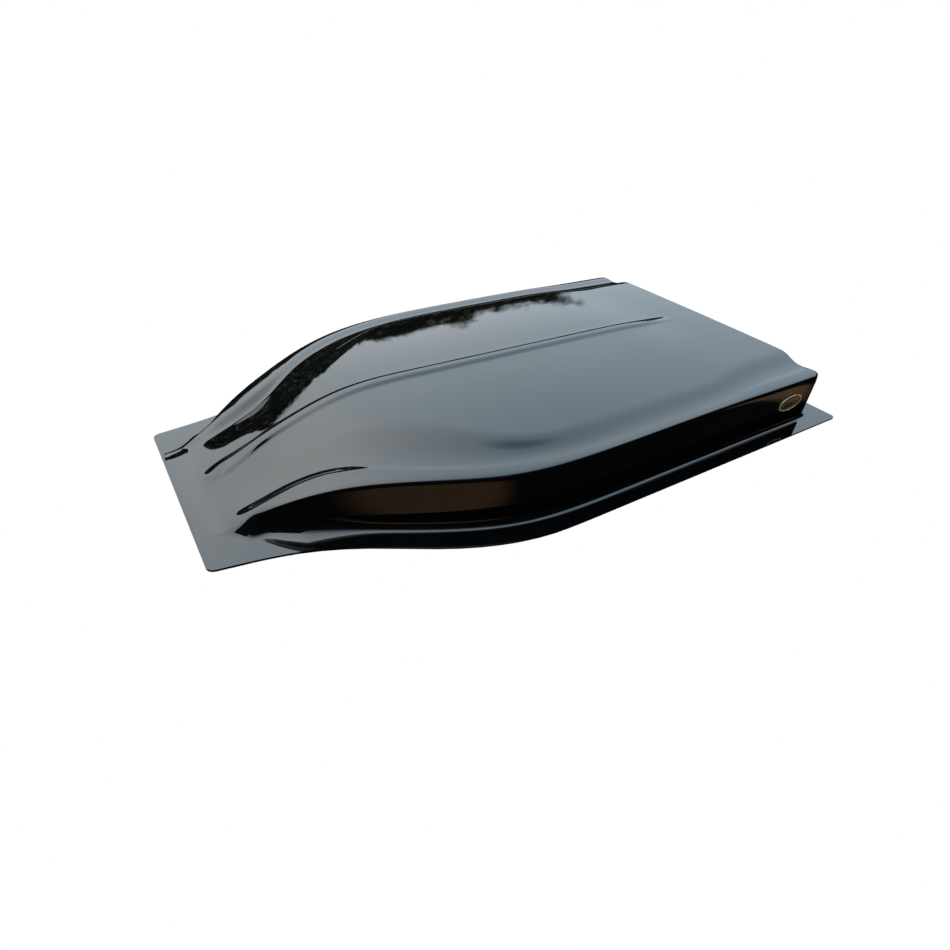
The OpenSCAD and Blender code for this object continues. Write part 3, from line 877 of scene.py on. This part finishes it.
def gloss_black():
    """Polished thermoformed sheet: deep black with a trace of waviness and very fine grain."""
    material, nodes, shader = new_material("gloss_black_sheet")
    place = object_place(nodes)
    waves = nodes.noise(9, 2, 0.4, place)
    grain = nodes.noise(900, 2, 0.5, place)
    nodes.put(shader.inputs["Base Color"],
              nodes.mix(waves, (0.0009, 0.0009, 0.001), (0.0016, 0.0016, 0.0018)))
    nodes.put(shader.inputs["Roughness"], nodes.span(grain, 0.3, 0.7, 0.022, 0.04))
    shader.inputs["IOR"].default_value = 1.5
    bumped(nodes, shader, waves, 0.00012)
    return material


def satin_black():
    """Moulded plastic with a fine spark texture."""
    material, nodes, shader = new_material("satin_black_moulding")
    grain = nodes.noise(1400, 3, 0.6, object_place(nodes))
    nodes.put(shader.inputs["Base Color"],
              nodes.mix(grain, (0.010, 0.010, 0.011), (0.022, 0.022, 0.023)))
    nodes.put(shader.inputs["Roughness"], nodes.span(grain, 0.3, 0.7, 0.36, 0.5))
    bumped(nodes, shader, grain, 0.00008)
    return material


def foam(name, dark, light, cells):
    """Closed-cell foam; cells is the number of cells to a metre."""
    material, nodes, shader = new_material(name)
    place = object_place(nodes)
    cell = nodes.add("TexVoronoi", None, Vector=place, Scale=cells).outputs["Distance"]
    pores = nodes.span(cell, 0.1, 0.7, soft=True)
    nodes.put(shader.inputs["Base Color"], nodes.mix(pores, dark, light))
    shader.inputs["Roughness"].default_value = 0.92
    shader.inputs["Specular IOR Level"].default_value = 0.25
    bumped(nodes, shader, pores, 0.0003, 0.8)
    return material


def metal(name, colour, rough_low, rough_high, grain_scale, stretch=(1, 1, 1), metallic=1.0):
    """Metal with a fine finish; stretch draws the grain out along an axis."""
    material, nodes, shader = new_material(name)
    place = nodes.add("Mapping", None, Vector=object_place(nodes), Scale=stretch)
    grain = nodes.noise(grain_scale, 4, 0.6, place.outputs[0])
    darker = tuple(0.8 * c for c in colour)
    nodes.put(shader.inputs["Base Color"], nodes.mix(grain, darker, colour))
    nodes.put(shader.inputs["Roughness"], nodes.span(grain, 0.25, 0.75, rough_low, rough_high))
    shader.inputs["Metallic"].default_value = metallic
    bumped(nodes, shader, grain, 0.00002, 0.6)
    return material


def clear_resin():
    """Clear doming resin with a few faint specks."""
    material, nodes, shader = new_material("clear_resin")
    specks = nodes.noise(500, 2, 0.5, object_place(nodes))
    nodes.put(shader.inputs["Base Color"], nodes.mix(specks, (0.97, 0.95, 0.86), (1.0, 0.99, 0.93)))
    nodes.put(shader.inputs["Roughness"], nodes.span(specks, 0.3, 0.7, 0.02, 0.05))
    shader.inputs["Transmission Weight"].default_value = 1.0
    shader.inputs["IOR"].default_value = 1.45
    return material


def rubber():
    material, nodes, shader = new_material("spline_rubber")
    grain = nodes.noise(800, 3, 0.6, object_place(nodes))
    nodes.put(shader.inputs["Base Color"], nodes.mix(grain, (0.012, 0.012, 0.012), (0.03, 0.03, 0.03)))
    nodes.put(shader.inputs["Roughness"], nodes.span(grain, 0.3, 0.7, 0.6, 0.8))
    bumped(nodes, shader, grain, 0.0001)
    return material


def enamel():
    material, nodes, shader = new_material("emblem_enamel")
    tone = nodes.noise(200, 2, 0.5, object_place(nodes))
    nodes.put(shader.inputs["Base Color"], nodes.mix(tone, (0.02, 0.017, 0.01), (0.04, 0.033, 0.02)))
    shader.inputs["Roughness"].default_value = 0.3
    return material


# ---- Scene ----
def build_world():
    """Sky bright towards the front left, trees beyond the far side, shade behind the camera.

    All of it is seen in mirror images only; to the camera the background is white.
    """
    world = bpy.data.worlds.new("surroundings")
    bpy.context.scene.world = world
    world.use_nodes = True
    world.node_tree.nodes.clear()
    nodes = Nodes(world.node_tree)
    direction = nodes.add("TexCoord").outputs["Generated"]
    x, y, z = nodes.add("SeparateXYZ", None, i0=direction).outputs
    turn = nodes.span(nodes.math("ARCTAN2", x, y), -math.pi, math.pi)
    height = nodes.math("ARCSINE", z)
    glow = nodes.add("VectorMath", {"operation": "DOT_PRODUCT"}, i0=direction, i1=(-0.5, -0.5, 0.707))
    toward_glow = nodes.math("POWER", nodes.span(glow.outputs["Value"], 0.3, 1.0), 2.0)
    sky = nodes.mix(toward_glow, (2.05, 2.8, 3.4), (4.8, 5.0, 5.1))
    sky = nodes.mix(nodes.span(z, 0.3, 0.78), (2.3, 2.45, 2.55), sky)
    # Duller low down behind the outlet, and above the camera's side
    low_behind = nodes.math("MULTIPLY", nodes.span(y, 0.3, 0.9), nodes.span(z, 0.75, 0.35))
    sky = nodes.mix(low_behind, sky, (1.05, 1.4, 1.7))
    sky = nodes.mix(nodes.span(x, 0.14, 0.42), sky, (0.55, 0.8, 1.05))
    # Height of the dark skyline, as a share of a right angle, round the horizon from -Y through -X
    heights = [(0.0, 0.1), (0.19, 0.12), (0.205, 0.29), (0.27, 0.29), (0.325, 0.19), (0.36, 0.165),
               (0.39, 0.15), (0.44, 0.14), (0.5, 0.2), (0.57, 0.34), (0.63, 0.66), (0.95, 0.66),
               (1.0, 0.3)]
    skyline = nodes.ramp(turn, [(position, (h, h, h)) for position, h in heights])
    roughness = nodes.math("SUBTRACT", nodes.noise(14, 6, 0.65, direction), 0.5)
    jagged = nodes.math("MULTIPLY", roughness, 0.1)
    share_up = nodes.math("ADD", nodes.math("DIVIDE", height, math.pi / 2), jagged)
    above = nodes.math("SUBTRACT", share_up, skyline)
    leaves = nodes.ramp(nodes.noise(40, 5, 0.7, direction),
                        [(0.0, (0.0, 0.0, 0.0)), (0.54, (0.01, 0.012, 0.01)),
                         (0.7, (0.3, 0.36, 0.18)), (1.0, (0.7, 0.8, 0.45))])
    # Leaves only beyond the far side; the camera's side is plain shade
    shade_tone = nodes.mix(nodes.span(height, 0.0, 1.0), (0.006, 0.006, 0.007), (0.03, 0.032, 0.035))
    below = nodes.mix(nodes.span(turn, 0.4, 0.5), leaves, shade_tone)
    colour = nodes.mix(nodes.span(above, -0.008, 0.008), below, sky)
    seen = nodes.add("Background", None, Color=colour, Strength=1.0)
    plain = nodes.add("Background", None, Color=(1.0, 1.0, 1.0), Strength=1.0)
    paths = nodes.add("LightPath")
    choose = nodes.add("MixShader", None, i0=paths.outputs["Is Camera Ray"], i1=seen, i2=plain)
    nodes.add("OutputWorld", None, Surface=choose)


def build_floor():
    """White where it is seen directly, pale for soft light, dark with brown patches in mirror images."""
    size = 40.0
    floor = new_object("floor", [(-size, -size, 0), (size, -size, 0), (size, size, 0), (-size, size, 0)],
                       [(0, 1, 2, 3)])
    material, nodes, shader = new_material("floor")
    shader.inputs["Base Color"].default_value = (0.6, 0.6, 0.6, 1)
    shader.inputs["Roughness"].default_value = 0.9
    paths = nodes.add("LightPath")
    place = nodes.add("NewGeometry").outputs["Position"]
    brown = 0.0
    for centre, reach in (((0.34, -0.3, 0), 0.17), ((0.4, 0.52, 0), 0.11)):
        away = nodes.add("VectorMath", {"operation": "DISTANCE"}, i0=place, i1=centre).outputs["Value"]
        brown = nodes.math("MAXIMUM", brown, nodes.span(away, reach, reach * 0.6, soft=True))
    ground = nodes.mix(brown, (0.01, 0.01, 0.012), (0.38, 0.22, 0.12))
    mirrored = nodes.add("Emission", None, Color=ground, Strength=1.0)
    white = nodes.add("Emission", None, Color=(1.0, 1.0, 1.0), Strength=1.0)
    soft = nodes.add("MixShader", None, i0=paths.outputs["Is Glossy Ray"], i1=shader, i2=mirrored)
    whole = nodes.add("MixShader", None, i0=paths.outputs["Is Camera Ray"], i1=soft, i2=white)
    nodes.put(nodes.tree.nodes["Material Output"].inputs["Surface"], whole)
    floor.data.materials.append(material)


def build_camera():
    """Looks down on the cover from its front right."""
    azimuth, elevation, roll = (math.radians(a) for a in (53.9, 36.2, 4.8))
    distance, target = 0.8146, Vector((0.142, -0.1462, FLANGE_Z * MM))
    back = Vector((math.sin(azimuth) * math.cos(elevation), -math.cos(azimuth) * math.cos(elevation),
                   math.sin(elevation)))
    camera = bpy.data.objects.new("camera", bpy.data.cameras.new("camera"))
    bpy.context.scene.collection.objects.link(camera)
    camera.location = target + back * distance
    upright = (-back).to_track_quat("-Z", "Y")
    camera.rotation_mode = "QUATERNION"
    camera.rotation_quaternion = upright @ Quaternion((0, 0, 1), roll)
    camera.data.sensor_width = 36.0
    camera.data.lens = 22.434
    camera.data.clip_start, camera.data.clip_end = 0.01, 200
    bpy.context.scene.camera = camera


def dress(obj, material, body, slot, *nodes):
    """Gives a piece its material, its body and the CAD nodes that it stands for; the slot argument is
    not used.
    """
    obj.data.materials.clear()
    obj.data.materials.append(material)
    if nodes:
        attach(obj, body)
        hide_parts(*nodes)


def soften_cad(node, material, radius):
    """A CAD node that stays, with a foam material and softened edges."""
    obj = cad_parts[node]
    obj.data.materials.clear()
    obj.data.materials.append(material)
    bevel = obj.modifiers.new("soft_edge", "BEVEL")
    bevel.width, bevel.segments, bevel.limit_method = radius, 2, "ANGLE"
    bevel.angle_limit = math.radians(50)


build_camera()
build_world()
build_floor()

satin, steel = satin_black(), metal("stainless", (0.58, 0.57, 0.55), 0.2, 0.38, 700)
nickel = metal("magnet_nickel", (0.72, 0.69, 0.64), 0.12, 0.22, 500)
dress(build_shell(), gloss_black(), "cover", "gloss_black_abs", "cover_shell")
dress(build_outlet_frame(), satin, "cover", "satin_black_abs", "outlet_frame")
dress(build_grille_frame(), satin, "grille", "satin_black_abs", "grille_frame")
dress(build_vanes(), satin, "grille", "satin_black_abs", "louvre_vanes")
dress(build_screen(), metal("screen_wire", (0.42, 0.42, 0.42), 0.3, 0.5, 900), "grille", "screen_mesh",
      "insect_screen")
dress(build_spline(), rubber(), "grille", "spline_rubber", "screen_spline")
dress(build_screws(), steel, "cover", "stainless", "frame_screws")
dress(build_nuts(), steel, "cover", "stainless", "frame_nuts")
dress(build_washers(), steel, "cover", "stainless", "frame_washers")
dress(build_pins(), steel, "cover", "stainless", "hinge_pins")
dress(build_magnets("frame_magnets", "frame_magnet_discs"), nickel, "cover", "magnet_nickel",
      "frame_magnets")
dress(build_magnets("grille_magnets", "grille_magnet_discs"), nickel, "grille", "magnet_nickel",
      "grille_magnets")

pad, plate, emblem, dome = build_badge()
dress(pad, foam("badge_foam", (0.01, 0.01, 0.01), (0.03, 0.03, 0.03), 2500), "cover", "badge_foam",
      "badge_pad")
dress(plate, metal("badge_gold", (0.6, 0.5, 0.26), 0.25, 0.4, 60, (1, 0.04, 8), 0.5), "cover",
      "badge_metal", "badge_plate")
dress(dome, clear_resin(), "cover", "badge_resin", "badge_dome")
emblem.data.materials.clear()
emblem.data.materials.append(enamel())
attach(emblem, "cover")

bonding = foam("bonding_foam", (0.012, 0.012, 0.013), (0.04, 0.04, 0.042), 1400)
for name in ("front_seal", "left_seal", "right_seal", "rear_seals"):
    soften_cad(name, bonding, 0.4 * MM)
soften_cad("frame_gasket", bonding, 0.2 * MM)

bpy.context.scene.view_settings.view_transform = "Standard"
